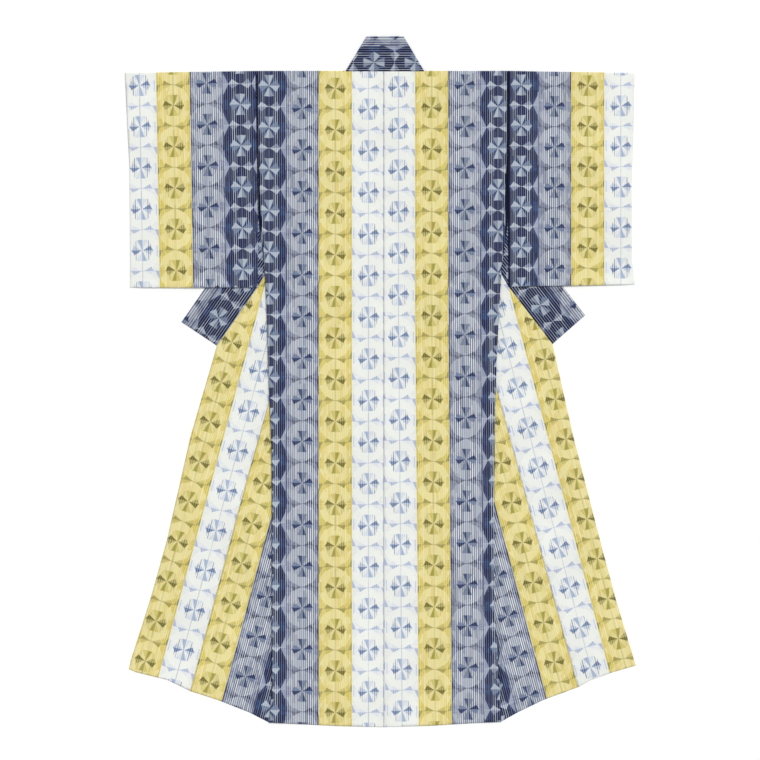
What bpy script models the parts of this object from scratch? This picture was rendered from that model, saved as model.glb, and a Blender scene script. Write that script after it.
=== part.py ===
"""Cotton summer kimono laid flat with its back side up and its front skirts opened out.

Every piece is a wall of cloth. Its layers are drawn on the floor plan, cut along one shared
grid, lifted onto what lies under them and joined by turns where the cloth is folded.
+Z is up, +Y points to the collar, and the origin is under the middle of the garment.
"""
import math

import bmesh
import bpy
from mathutils import Vector

# Thicknesses and clearances, in metres
CLOTH = 0.0010
COLLAR_CLOTH = 0.0016
SEAM_GAP = 0.0003
LAYER_GAP = 0.0003
FOLD_INSET = 0.0015

# Spacing of the shared grid across and along the garment
GRID_ACROSS = 0.050
GRID_ALONG = 0.100
GRID_SNAP = 0.0002
REST_MARGIN = 0.003

# Lengths that both sides share
COLLAR_TOP = -0.088
COLLAR_BASE = 0.0012
COLLAR_TURN_INSET = 0.0023
CENTRE_HEM = 1.673
COLLAR_SEAM_START = 0.008
OKUMI_TIP_CLEARANCE = 0.0016

# Each row is (distance from the centre back, drop below the shoulder), in metres.
LEFT = {
    "sign": -1,
    "armhole": [(0.324, 0.0), (0.320, 0.232)],
    "side_seam": [(0.312, 0.377), (0.301, 0.525), (0.297, 0.620), (0.292, 0.801), (0.285, 0.959),
                  (0.284, 1.119), (0.284, 1.578), (0.292, 1.661)],
    "back_hem": [(0.213, 1.665), (0.111, 1.670)],
    "neck": (0.098, 0.001),
    "collar_corner": (0.044, -0.088),
    "skirt_fold": [(0.036, -0.085), (0.2804, 1.6606)],
    "fold_meets_collar": 0.140,
    "okumi_tip": (0.114, 0.222),
    "okumi_seam": [(0.349, 1.043), (0.493, 1.581)],
    "front_edge": [(0.435, 0.737), (0.491, 0.928), (0.552, 1.196), (0.595, 1.349), (0.644, 1.502),
                   (0.649, 1.525)],
    "okumi_hem": [(0.631, 1.533), (0.550, 1.553)],
    "front_hem": [(0.422, 1.604), (0.343, 1.635), (0.292, 1.661)],
    "collar_seam": [(0.321, 0.550), (0.425, 0.700)],
    "collar_free_edge": [(0.515, 0.640), (0.456, 0.554)],
    "sleeve_inner": (0.320, 0.551),
    "cuff": [(0.646, 0.551), (0.646, 0.405), (0.648, 0.252), (0.654, 0.138), (0.660, 0.005)],
    "cuff_opening": 2,
}
RIGHT = {
    "sign": 1,
    "armhole": [(0.316, 0.0), (0.315, 0.232)],
    "side_seam": [(0.300, 0.523), (0.294, 0.620), (0.288, 0.755), (0.284, 0.870), (0.283, 0.982),
                  (0.281, 1.180), (0.2825, 1.370), (0.2885, 1.450), (0.300, 1.659)],
    "back_hem": [(0.221, 1.663), (0.119, 1.669)],
    "neck": (0.105, 0.001),
    "collar_corner": (0.052, -0.088),
    "skirt_fold": [(0.044, -0.085), (0.2884, 1.6586)],
    "fold_meets_collar": 0.135,
    "okumi_tip": (0.127, 0.223),
    "okumi_seam": [(0.351, 1.043), (0.496, 1.571)],
    "front_edge": [(0.440, 0.737), (0.483, 0.928), (0.552, 1.196), (0.593, 1.349), (0.639, 1.502),
                   (0.643, 1.516)],
    "okumi_hem": [(0.585, 1.533), (0.529, 1.553)],
    "front_hem": [(0.407, 1.604), (0.343, 1.635), (0.300, 1.659)],
    "collar_seam": [(0.319, 0.550), (0.431, 0.696)],
    "collar_free_edge": [(0.514, 0.623), (0.457, 0.550)],
    "sleeve_inner": (0.319, 0.549),
    "cuff": [(0.641, 0.543), (0.634, 0.482), (0.634, 0.291), (0.639, 0.138), (0.641, 0.005)],
    "cuff_opening": 2,
}
SIDES = {"left": LEFT, "right": RIGHT}

# Colour and roughness of each piece of plain-weave cotton
FINISHES = {
    "body": ((0.60, 0.58, 0.52, 1.0), 0.85),
    "okumi": ((0.80, 0.70, 0.36, 1.0), 0.85),
    "sleeve": ((0.52, 0.53, 0.56, 1.0), 0.85),
    "collar": ((0.12, 0.16, 0.34, 1.0), 0.80),
}


def on_plan(side, rows):
    """Turn (distance, drop) rows into points on the floor plan."""
    return [Vector((side["sign"] * width, -drop)) for width, drop in rows]


def moved_aside(points, distance):
    """Offset an open run of points to the left of its direction."""
    moved = []
    for index, point in enumerate(points):
        before = points[max(index - 1, 0)]
        after = points[min(index + 1, len(points) - 1)]
        along = (after - before).normalized()
        moved.append(point + distance * Vector((-along.y, along.x)))
    return moved


def skirt_fold_ends(side):
    """Ends of the fold on which a front skirt turns out, for the body and for the collar."""
    top, hem = on_plan(side, side["skirt_fold"])
    along = (hem - top).normalized()
    crossing = top + along * ((-side["fold_meets_collar"] - top.y) / along.y)
    return {
        "collar_top": top,
        "collar_end": crossing - along * COLLAR_SEAM_START,
        "body_top": crossing + along * SEAM_GAP,
        "hem": hem,
    }


def body_layers(side):
    """One body length: back, hidden front under it, and the skirt turned out."""
    sign = side["sign"]
    fold = skirt_fold_ends(side)
    shoulder = on_plan(side, [(side["armhole"][0][0], FOLD_INSET), (side["neck"][0] + 0.0005, FOLD_INSET)])
    side_edge = on_plan(side, side["armhole"][1:] + side["side_seam"])
    centre = [Vector((sign * SEAM_GAP / 2, -CENTRE_HEM)), Vector((sign * SEAM_GAP / 2, -FOLD_INSET))]
    back = [shoulder[0]] + side_edge + on_plan(side, side["back_hem"]) + centre + [shoulder[1]]
    hidden = [shoulder[0]] + side_edge + [fold["hem"], fold["body_top"], shoulder[1]]
    seam = [fold["body_top"]] + on_plan(side, [side["okumi_tip"]] + side["okumi_seam"])
    seam = [seam[0]] + moved_aside(seam, -sign * SEAM_GAP / 2)[1:]
    skirt = seam + on_plan(side, side["front_hem"]) + [fold["hem"]]
    layers = [("back", 2, back), ("hidden front", 1, hidden), ("skirt", 0, skirt)]
    turns = [("back", "hidden front", shoulder),
             ("hidden front", "skirt", [fold["body_top"], fold["hem"]])]
    return layers, turns


def okumi_layers(side):
    """The overlap panel, wholly turned out with the skirt."""
    sign = side["sign"]
    tip = on_plan(side, [side["okumi_tip"]])[0]
    seam = moved_aside([tip] + on_plan(side, side["okumi_seam"]), sign * SEAM_GAP / 2)[1:]
    collar_seam = moved_aside([tip] + on_plan(side, side["collar_seam"]), -sign * SEAM_GAP)[1:]
    inward = ((seam[0] - tip).normalized() + (collar_seam[0] - tip).normalized()).normalized()
    start = tip + inward * OKUMI_TIP_CLEARANCE
    outline = [start] + collar_seam + on_plan(side, side["front_edge"] + side["okumi_hem"])
    return [("panel", 0, outline + seam[::-1])], []


def sleeve_layers(side):
    """A sleeve folded at the shoulder, closed at the bottom and the lower cuff."""
    sign = side["sign"]
    gap = Vector((sign * SEAM_GAP, 0.0))
    armhole = [point + gap for point in on_plan(side, side["armhole"])]
    armhole[0].y = -FOLD_INSET
    inner_bottom = on_plan(side, [side["sleeve_inner"]])[0]
    cuff = on_plan(side, side["cuff"])
    cuff = [point - Vector((sign * FOLD_INSET, 0.0)) for point in cuff]
    cuff[-1].y -= FOLD_INSET
    outline = armhole + [inner_bottom] + cuff
    closed = [inner_bottom] + cuff[:side["cuff_opening"] + 1]
    layers = [("back", 2, outline), ("front", 1, [point.copy() for point in outline])]
    turns = [("back", "front", [cuff[-1], armhole[0]]), ("back", "front", closed)]
    return layers, turns


def collar_layers():
    """The collar strip: round the back neck, turned down at each side and out with each skirt."""
    neck_back = []
    layers = []
    turns = []
    for name, side in SIDES.items():
        sign = side["sign"]
        fold = skirt_fold_ends(side)
        corner, base = on_plan(side, [(side["collar_corner"][0] - COLLAR_TURN_INSET, COLLAR_TOP),
                                      (side["neck"][0] - COLLAR_TURN_INSET, COLLAR_BASE)])
        neck_back.append([corner, base])
        wedge = [corner, base, fold["collar_end"], fold["collar_top"]]
        seam = on_plan(side, [side["okumi_tip"]] + side["collar_seam"])
        seam = moved_aside(seam, sign * SEAM_GAP / 2)
        front = [fold["collar_end"]] + seam + on_plan(side, side["collar_free_edge"])
        layers += [(name + " wedge", 1, wedge), (name + " front", 0, front + [fold["collar_top"]])]
        turns += [("neck", name + " wedge", [corner, base]),
                  (name + " wedge", name + " front", [fold["collar_end"], fold["collar_top"]])]
    left, right = neck_back
    layers.append(("neck", 2, left + right[::-1]))
    return layers, turns


def cut_on_grid(outline):
    """Return a flat mesh of an outline, cut along the shared grid and its diagonals."""
    mesh = bmesh.new()
    corners = [mesh.verts.new((point.x, point.y, 0.0)) for point in outline]
    mesh.faces.new(corners)
    low = [min(point[axis] for point in outline) for axis in (0, 1)]
    high = [max(point[axis] for point in outline) for axis in (0, 1)]
    across = [math.floor(low[0] / GRID_ACROSS), math.ceil(high[0] / GRID_ACROSS)]
    along = [math.floor(low[1] / GRID_ALONG), math.ceil(high[1] / GRID_ALONG)]
    diagonal = Vector((1.0 / GRID_ACROSS, 1.0 / GRID_ALONG, 0.0))
    planes = [(Vector((i * GRID_ACROSS, 0.0, 0.0)), Vector((1.0, 0.0, 0.0)))
              for i in range(across[0], across[1] + 1)]
    planes += [(Vector((0.0, j * GRID_ALONG, 0.0)), Vector((0.0, 1.0, 0.0)))
               for j in range(along[0], along[1] + 1)]
    planes += [(Vector((k * GRID_ACROSS, 0.0, 0.0)), diagonal.normalized())
               for k in range(across[0] + along[0], across[1] + along[1] + 1)]
    for point, normal in planes:
        geometry = mesh.verts[:] + mesh.edges[:] + mesh.faces[:]
        bmesh.ops.bisect_plane(mesh, geom=geometry, dist=GRID_SNAP, plane_co=point, plane_no=normal)
    return mesh


def grid_triangle(x, y):
    """Corners of the grid triangle over a point, with the weights of each."""
    across = x / GRID_ACROSS
    along = y / GRID_ALONG
    i = math.floor(across)
    j = math.floor(along)
    a = across - i
    b = along - j
    if a + b <= 1.0:
        return [((i, j), 1.0 - a - b), ((i + 1, j), a), ((i, j + 1), b)]
    return [((i + 1, j + 1), a + b - 1.0), ((i, j + 1), 1.0 - a), ((i + 1, j), 1.0 - b)]


def covered_nodes(mesh):
    """Grid nodes whose triangles a layer covers or comes close to."""
    nodes = set()
    spots = [face.calc_center_median() for face in mesh.faces]
    for vert in mesh.verts:
        for step_x in (-REST_MARGIN, 0.0, REST_MARGIN):
            for step_y in (-REST_MARGIN, 0.0, REST_MARGIN):
                spots.append(vert.co + Vector((step_x, step_y, 0.0)))
    for spot in spots:
        nodes.update(node for node, weight in grid_triangle(spot.x, spot.y))
    return nodes


def resting_heights(pieces):
    """Height of the floor of each level at each grid node: each layer lies on those below it."""
    heights = [{}, {}, {}]
    for level in (1, 2):
        for piece in pieces.values():
            for layer_level, mesh in piece["cut"].values():
                if layer_level >= level:
                    continue
                for node in covered_nodes(mesh):
                    top = heights[layer_level].get(node, 0.0) + piece["cloth"] + LAYER_GAP
                    heights[level][node] = max(heights[level].get(node, 0.0), top)
    return heights


def height_at(heights, level, point):
    return sum(weight * heights[level].get(node, 0.0) for node, weight in grid_triangle(point.x, point.y))


def along_run(run, point):
    """Distance along a run of points to a point on it, or None when the point is off it."""
    travelled = 0.0
    for start, end in zip(run, run[1:]):
        length = (end - start).length
        along = (end - start) / length
        offset = Vector((point.x, point.y)) - start
        reach = offset.dot(along)
        if abs(offset.cross(along)) < 2 * GRID_SNAP and -GRID_SNAP <= reach <= length + GRID_SNAP:
            return travelled + min(max(reach, 0.0), length)
        travelled += length
    return None


def verts_on_run(verts, run):
    placed = [(along_run(run, vert.co), vert) for vert in verts]
    placed = [(distance, vert) for distance, vert in placed if distance is not None]
    placed.sort(key=lambda pair: pair[0])
    return [vert for distance, vert in placed]


def outward_directions(verts, centre):
    """Even outward direction at each vertex of a fold, away from the cloth."""
    normals = []
    for first, second in zip(verts, verts[1:]):
        along = (second.co - first.co).to_2d().normalized()
        normal = Vector((along.y, -along.x))
        if normal.dot(first.co.to_2d() - centre) < 0.0:
            normal = -normal
        normals.append(normal)
    directions = []
    for index in range(len(verts)):
        before = normals[max(index - 1, 0)]
        after = normals[min(index, len(normals) - 1)]
        middle = (before + after).normalized()
        directions.append(middle / max(middle.dot(before), 0.5))
    return directions


def join_turn(mesh, upper, lower, centre):
    """Join two layers by a turn of cloth that stands out beyond their common fold."""
    if len(upper) != len(lower):
        raise ValueError("the two layers of a fold are cut differently")
    directions = outward_directions(upper, centre)
    middles = []
    for top, bottom, direction in zip(upper, lower, directions):
        radius = (top.co.z - bottom.co.z) / 2
        spot = (top.co + bottom.co) / 2 + (direction * radius).to_3d()
        middles.append(mesh.verts.new(spot))
    for index in range(len(upper) - 1):
        following = index + 1
        mesh.faces.new((upper[index], upper[following], middles[following], middles[index]))
        mesh.faces.new((middles[index], middles[following], lower[following], lower[index]))


def build_piece(name, piece, heights):
    """Lift, join and thicken the layers of one piece."""
    whole = bmesh.new()
    layer_verts = {}
    centres = {}
    for layer_name, (level, cut) in piece["cut"].items():
        copies = {}
        for vert in cut.verts:
            z = height_at(heights, level, vert.co) + piece["cloth"] / 2
            copies[vert] = whole.verts.new((vert.co.x, vert.co.y, z))
        for face in cut.faces:
            whole.faces.new([copies[vert] for vert in face.verts])
        layer_verts[layer_name] = list(copies.values())
        total = sum((vert.co.to_2d() for vert in cut.verts), Vector((0.0, 0.0)))
        centres[layer_name] = total / len(cut.verts)
        cut.free()
    for upper_name, lower_name, run in piece["turns"]:
        upper = verts_on_run(layer_verts[upper_name], run)
        lower = verts_on_run(layer_verts[lower_name], run)
        join_turn(whole, upper, lower, centres[upper_name])
    bmesh.ops.recalc_face_normals(whole, faces=whole.faces[:])
    bmesh.ops.triangulate(whole, faces=whole.faces[:])
    mesh = bpy.data.meshes.new(name)
    whole.to_mesh(mesh)
    whole.free()
    mesh.shade_smooth()
    obj = bpy.data.objects.new(name, mesh)
    bpy.context.scene.collection.objects.link(obj)
    wall = obj.modifiers.new("Cloth wall", "SOLIDIFY")
    wall.thickness = piece["cloth"]
    wall.offset = 0.0
    wall.use_even_offset = True
    wall.use_rim = True
    obj.data.materials.append(cotton(name))
    return obj


def cotton(name):
    colour, roughness = FINISHES[name.split("_")[0]]
    material = bpy.data.materials.new(name + " cotton")
    material.use_nodes = True
    shader = material.node_tree.nodes["Principled BSDF"]
    shader.inputs["Base Color"].default_value = colour
    shader.inputs["Roughness"].default_value = roughness
    shader.inputs["Metallic"].default_value = 0.0
    return material


def centre_on_floor(objects):
    """Shift every piece so that the garment's middle is over the origin and it rests at z = 0."""
    bpy.context.view_layer.update()
    graph = bpy.context.evaluated_depsgraph_get()
    corners = []
    for obj in objects:
        shape = obj.evaluated_get(graph).to_mesh()
        corners += [vert.co.copy() for vert in shape.vertices]
    low = [min(corner[axis] for corner in corners) for axis in range(3)]
    high = [max(corner[axis] for corner in corners) for axis in range(3)]
    shift = Vector((-(low[0] + high[0]) / 2, -(low[1] + high[1]) / 2, -low[2]))
    for obj in objects:
        for vert in obj.data.vertices:
            vert.co += shift


def make_kimono():
    for obj in list(bpy.data.objects):
        bpy.data.objects.remove(obj, do_unlink=True)
    plans = {"collar": (COLLAR_CLOTH, collar_layers())}
    for side_name, side in SIDES.items():
        plans["body_" + side_name] = (CLOTH, body_layers(side))
        plans["okumi_" + side_name] = (CLOTH, okumi_layers(side))
        plans["sleeve_" + side_name] = (CLOTH, sleeve_layers(side))
    pieces = {}
    for name, (cloth, (layers, turns)) in plans.items():
        cut = {layer: (level, cut_on_grid(outline)) for layer, level, outline in layers}
        pieces[name] = {"cloth": cloth, "cut": cut, "turns": turns}
    heights = resting_heights(pieces)
    objects = [build_piece(name, piece, heights) for name, piece in pieces.items()]
    centre_on_floor(objects)


make_kimono()
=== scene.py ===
"""Looks of a cotton summer kimono laid flat, back side up, with its front skirts opened out.

Each piece is a thin shell of cloth on its solid's form. Its UV map is the loom's own plan in
metres, across the bolt and along it, so the woven figures follow every fold and seam.
"""
import math

import bmesh
import bpy
import numpy as np
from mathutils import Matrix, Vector
from mathutils.geometry import delaunay_2d_cdt


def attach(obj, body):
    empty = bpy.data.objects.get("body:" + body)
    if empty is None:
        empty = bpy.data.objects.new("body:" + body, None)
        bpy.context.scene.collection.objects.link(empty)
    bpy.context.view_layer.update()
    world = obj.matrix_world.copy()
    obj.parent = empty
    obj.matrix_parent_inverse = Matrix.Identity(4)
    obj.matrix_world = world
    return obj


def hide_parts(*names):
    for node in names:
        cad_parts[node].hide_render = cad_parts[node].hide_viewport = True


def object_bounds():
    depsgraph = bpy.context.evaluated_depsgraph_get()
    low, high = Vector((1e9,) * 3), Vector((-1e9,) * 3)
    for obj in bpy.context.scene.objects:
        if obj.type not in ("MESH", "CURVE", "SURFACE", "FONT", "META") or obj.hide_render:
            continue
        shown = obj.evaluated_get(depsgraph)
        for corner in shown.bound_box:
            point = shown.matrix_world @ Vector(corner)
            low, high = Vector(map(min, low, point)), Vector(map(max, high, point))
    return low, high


bl_info = {
    "name": "Laid summer kimono",
    "version": (1, 0, 0),
    "blender": (4, 5, 0),
    "location": "3D View > Sidebar > Kimono",
    "description": "Builds the cloth, stitches and stage of a kimono laid flat",
    "category": "Object",
}

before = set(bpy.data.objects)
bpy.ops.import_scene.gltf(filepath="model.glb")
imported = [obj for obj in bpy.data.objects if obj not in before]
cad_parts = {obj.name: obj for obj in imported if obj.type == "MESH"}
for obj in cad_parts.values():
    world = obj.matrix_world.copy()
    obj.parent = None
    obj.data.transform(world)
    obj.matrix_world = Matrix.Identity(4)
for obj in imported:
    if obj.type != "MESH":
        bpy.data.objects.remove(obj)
CAD_LOW, CAD_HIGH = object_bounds()

# Each row is (distance from the centre back, drop below the shoulder), in metres.
LEFT = {
    "sign": -1,
    "armhole": [(0.324, 0.0), (0.320, 0.232)],
    "hidden_edge": [(0.320, 0.232), (0.3194, 0.300), (0.3192, 0.360), (0.316, 0.410), (0.306, 0.470),
                    (0.301, 0.525)],
    "side_seam": [(0.312, 0.377), (0.301, 0.525), (0.297, 0.620), (0.292, 0.801), (0.285, 0.959),
                  (0.284, 1.119), (0.284, 1.578), (0.292, 1.661)],
    "back_hem": [(0.213, 1.665), (0.111, 1.670)],
    "neck": (0.098, 0.001),
    "collar_corner": (0.044, -0.088),
    "skirt_fold": [(0.036, -0.085), (0.2804, 1.6606)],
    "fold_meets_collar": 0.140,
    "okumi_tip": (0.114, 0.222),
    "okumi_seam": [(0.349, 1.043), (0.493, 1.581)],
    "front_edge": [(0.435, 0.737), (0.491, 0.928), (0.552, 1.196), (0.595, 1.349), (0.644, 1.502),
                   (0.649, 1.525)],
    "okumi_hem": [(0.631, 1.533), (0.550, 1.553)],
    "front_hem": [(0.422, 1.604), (0.343, 1.635), (0.292, 1.661)],
    "collar_seam": [(0.321, 0.550), (0.425, 0.700)],
    "collar_free_edge": [(0.515, 0.640), (0.456, 0.554)],
    "sleeve_inner": (0.320, 0.551),
    "cuff": [(0.646, 0.551), (0.646, 0.405), (0.648, 0.252), (0.654, 0.138), (0.660, 0.005)],
}
RIGHT = {
    "sign": 1,
    "armhole": [(0.316, 0.0), (0.315, 0.232)],
    "hidden_edge": [(0.315, 0.232), (0.3184, 0.300), (0.3180, 0.360), (0.3145, 0.410),
                    (0.3045, 0.470), (0.300, 0.523)],
    "side_seam": [(0.300, 0.523), (0.294, 0.620), (0.288, 0.755), (0.284, 0.870), (0.283, 0.982),
                  (0.281, 1.180), (0.2825, 1.370), (0.2885, 1.450), (0.300, 1.659)],
    "back_hem": [(0.221, 1.663), (0.119, 1.669)],
    "neck": (0.105, 0.001),
    "collar_corner": (0.052, -0.088),
    "skirt_fold": [(0.044, -0.085), (0.2884, 1.6586)],
    "fold_meets_collar": 0.135,
    "okumi_tip": (0.127, 0.223),
    "okumi_seam": [(0.351, 1.043), (0.496, 1.571)],
    "front_edge": [(0.440, 0.737), (0.483, 0.928), (0.552, 1.196), (0.593, 1.349), (0.639, 1.502),
                   (0.643, 1.516)],
    "okumi_hem": [(0.585, 1.533), (0.529, 1.553)],
    "front_hem": [(0.407, 1.604), (0.343, 1.635), (0.300, 1.659)],
    "collar_seam": [(0.319, 0.550), (0.431, 0.696)],
    "collar_free_edge": [(0.514, 0.623), (0.457, 0.550)],
    "sleeve_inner": (0.319, 0.549),
    "cuff": [(0.641, 0.543), (0.634, 0.482), (0.634, 0.291), (0.639, 0.138), (0.641, 0.005)],
}
SIDES = {"left": LEFT, "right": RIGHT}

CENTRE_HEM = 1.673
COLLAR_TOP = -0.088
COLLAR_BASE = 0.0012
COLLAR_TURN_INSET = 0.0023
COLLAR_SEAM_START = 0.008
OKUMI_TIP_CLEARANCE = 0.0016
SEAM_GAP = 0.0003
FOLD_INSET = 0.0012
FURROW = 0.0018
FURROW_START = 0.012
NECK_INSET = 0.0005
CENTRE_CLEARANCE = 0.004
CUFF_OPENING = 2
RIGHT_BACK_SLANT = 0.009
SLANT_START = 0.62
HEM_DEPTH = 0.018
EDGE_DEPTH = 0.010

# The plan's shoulder line and centre back, in the frame of the solids
PLAN_ORIGIN = Vector((CAD_HIGH.x - RIGHT["front_edge"][-1][0], CAD_LOW.y + CENTRE_HEM, 0.0))

# Where the cloth's print starts in each layer. A row gives the point of the plan (distance from
# the centre back, drop), the metres across and along the bolt there, the turn of the bolt in
# degrees from lying across to the right and up the garment, the stretch across and along, how
# far the figures of its grey and of its navy stripes run ahead along the bolt, and where across
# the bolt its dark band starts: the real dark selvage, which on the sleeves and hidden fronts
# starts early, so that a painted seam shade runs along the armhole.
PRINTS = {
    "left back": ((0.0, 0.0), 0.004, 0.0083, 180.0, 1.0, 0.9917, -0.0023, -0.0070, 0.345),
    "right back": ((0.0, 0.0), 0.004, 0.0402, 0.0, 1.0, 0.9917, 0.0044, 0.0026, 0.345),
    # The hidden fronts and the sleeves start their dark selvage early, so that a painted seam shade runs
    # along the armhole
    "left hidden front": ((0.0, 0.0), 0.0225, 0.0074, 180.0, 1.0, -1.0, 0.0, 0.0, 0.3345),
    "right hidden front": ((0.0, 0.0), 0.0245, 0.0467, 0.0, 1.0, -1.0, 0.0, 0.0, 0.3345),
    "left skirt": ((0.493, 1.581), 0.0845, 0.0199, -15.0, 1.0, 1.0, -0.0133, -0.0200, 0.345),
    "right skirt": ((0.496, 1.571), 0.0845, 0.0245, 194.9, 1.0, 1.0, 0.0140, 0.0200, 0.345),
    "left okumi": ((0.493, 1.581), 0.0, -0.0084, 164.8, 0.97, 1.0, 0.0, 0.0, 0.345),
    "right okumi": ((0.496, 1.571), 0.0, -0.0408, 14.7, 0.97, 1.0, 0.0, 0.0, 0.345),
    "left sleeve": ((0.580, 0.0), 0.0845, 0.0362, 1.0, 0.99, 1.0, 0.0023, -0.0003, 0.3345),
    "right sleeve": ((0.5627, 0.0), 0.0845, 0.0145, 180.0, 1.0, 1.017, 0.0010, -0.0018, 0.3253),
    "neck": ((0.0, 0.001), 0.3181, 0.0768, -90.0, 1.0, 1.0, 0.0, 0.0, 0.345),
    "left collar": ((0.425, 0.700), 0.3323, -0.0078, -34.7, 1.0, 1.0, 0.0, 0.0, 0.345),
    "right collar": ((0.431, 0.696), 0.3311, 0.0511, 217.5, 1.0, 1.0, 0.0035, 0.0062, 0.345),
}

# Creases pressed or fallen into the laid cloth. A row gives the side, the lowest layer that it
# lifts, its two ends on the plan, its height and its half width.
CREASES = [
    ("left", 0, (0.3225, 1.270), (0.3245, 1.420), 0.0040, 0.0024),
    ("left", 0, (0.3235, 1.475), (0.3110, 1.605), 0.0044, 0.0026),
    ("left", 0, (0.345, 1.130), (0.338, 1.300), 0.0026, 0.010),
    ("left", 0, (0.398, 1.400), (0.420, 1.560), 0.0024, 0.012),
    ("left", 0, (0.430, 0.905), (0.480, 1.050), 0.0016, 0.014),
    ("left", 0, (0.380, 1.080), (0.400, 1.230), 0.0014, 0.014),
    ("right", 0, (0.2910, 1.150), (0.2990, 1.290), 0.0040, 0.0055),
    ("right", 0, (0.2940, 1.320), (0.3000, 1.430), 0.0036, 0.0024),
    ("right", 0, (0.3040, 1.430), (0.3020, 1.590), 0.0042, 0.0026),
    ("right", 0, (0.345, 1.150), (0.372, 1.330), 0.0026, 0.011),
    ("right", 0, (0.455, 0.940), (0.490, 1.120), 0.0016, 0.014),
    ("right", 0, (0.430, 1.380), (0.452, 1.520), 0.0016, 0.015),
    ("left", 2, (0.150, 0.300), (0.170, 0.700), 0.0012, 0.030),
    ("left", 2, (0.070, 1.180), (0.055, 1.560), 0.0011, 0.028),
    ("right", 2, (0.120, 0.950), (0.160, 1.400), 0.0012, 0.033),
    ("right", 2, (0.060, 0.260), (0.082, 0.580), 0.0010, 0.026),
    ("left", 1, (0.420, 0.110), (0.440, 0.400), 0.0011, 0.028),
    ("left", 1, (0.560, 0.090), (0.545, 0.300), 0.0010, 0.024),
    ("right", 1, (0.450, 0.150), (0.430, 0.460), 0.0011, 0.028),
    ("right", 1, (0.570, 0.280), (0.585, 0.500), 0.0010, 0.024),
]
# Edges of cloth that stand a little off what they lie on, in the same columns.
RAISED_EDGES = [
    ("left", 2, (0.318, 0.270), (0.301, 0.525), 0.0034, 0.009),
    ("left", 2, (0.301, 0.525), (0.292, 0.801), 0.0028, 0.009),
    ("left", 2, (0.292, 0.801), (0.284, 1.119), 0.0024, 0.009),
    ("left", 2, (0.284, 1.119), (0.286, 1.600), 0.0030, 0.009),
    ("right", 2, (0.314, 0.250), (0.300, 0.523), 0.0034, 0.009),
    ("right", 2, (0.300, 0.523), (0.288, 0.755), 0.0028, 0.009),
    ("right", 2, (0.288, 0.755), (0.281, 1.180), 0.0024, 0.009),
    ("right", 2, (0.281, 1.180), (0.2825, 1.370), 0.0026, 0.009),
    ("right", 2, (0.2825, 1.370), (0.297, 1.600), 0.0030, 0.009),
    ("left", 1, (0.330, 0.548), (0.640, 0.548), 0.0034, 0.011),
    ("right", 1, (0.330, 0.546), (0.636, 0.541), 0.0034, 0.011),
    ("left", 0, (0.250, 1.660), (0.020, 1.668), 0.0010, 0.012),
    ("right", 0, (0.250, 1.658), (0.020, 1.668), 0.0010, 0.012),
]

# A crease fades out over this many half widths at each end, the back's narrow edges only in part
FADE_LENGTH = 3
LEAST_FADE = 0.6
NARROW = 0.02
# Rows of points along a sharp crease, and the band kept free for them, in its half widths
CREASE_ROWS = (-1.6, -0.8, 0.0, 0.8, 1.6)
CREASE_BAND = 2.3
# How near to an outline a point may lie, in mesh spacings
EDGE_SHARE = 0.45
SAME_PLACE = 1e-5
SWELL = 0.0003
STITCH_RUN_STEP = 0.005

# The woven repeat, in millimetres from the middle of a figure
DISC_HALF_WIDTH = 42.2
DISC_HALF_HEIGHT = 52.5
WHEEL_REACH = 26.8
UPRIGHT_VANE_SLOPE = 0.36
PALE_UPRIGHT_SLOPE = 0.48
VANE_SLOPE = 0.66
VANE_START = 1.3
VANE_TIP_SLOPE = 1.55
VANE_TIP = 27.3
BOW_SLOPE = 0.56
BOW_START = 1.8
BOW_TIP_SLOPE = 1.5
BOW_TIP = 28.5
NAVY_SPREAD = 0.20
CORNER_WIDTH = 10.0
CORNER_SLOPE = 0.48
NAVY_CORNER = 3.0
NAVY_BOW_SPREAD = 0.13
NAVY_VANE_START = 0.3
HAZE_START = 27.0
HAZE_HALF_HEIGHT = 15.0
SIDE_DASH = 37.4
SIDE_DASH_HALF_HEIGHT = 15.5
BOW_LINE = 0.8
EDGE_LINE = 1.6
MIDDLE_LINE_HALF_WIDTH = 1.1
STRONG_THREAD = 18.5
YARN = 2.2
# The real weave is about 0.4 mm from thread to thread, too fine to show: it is drawn coarser
WEAVE = 0.0011
RESIST_SLIP = 4.5
SOFT_EDGE = 1.6

# How the special warp threads show in each cotton: how many cross a stripe, how much narrower
# and how much stronger they are on navy, and how light the whole cloth is. The real threads are
# finer than a picture can show, so they are drawn coarser, and coarser still on the slanting
# collar, where they would blur.
CLOTHS = {
    "striped_cotton": (16, -0.20, -0.52, 1.0),
    "collar_cotton": (14, -0.42, -0.24, 0.90),
}
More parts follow.
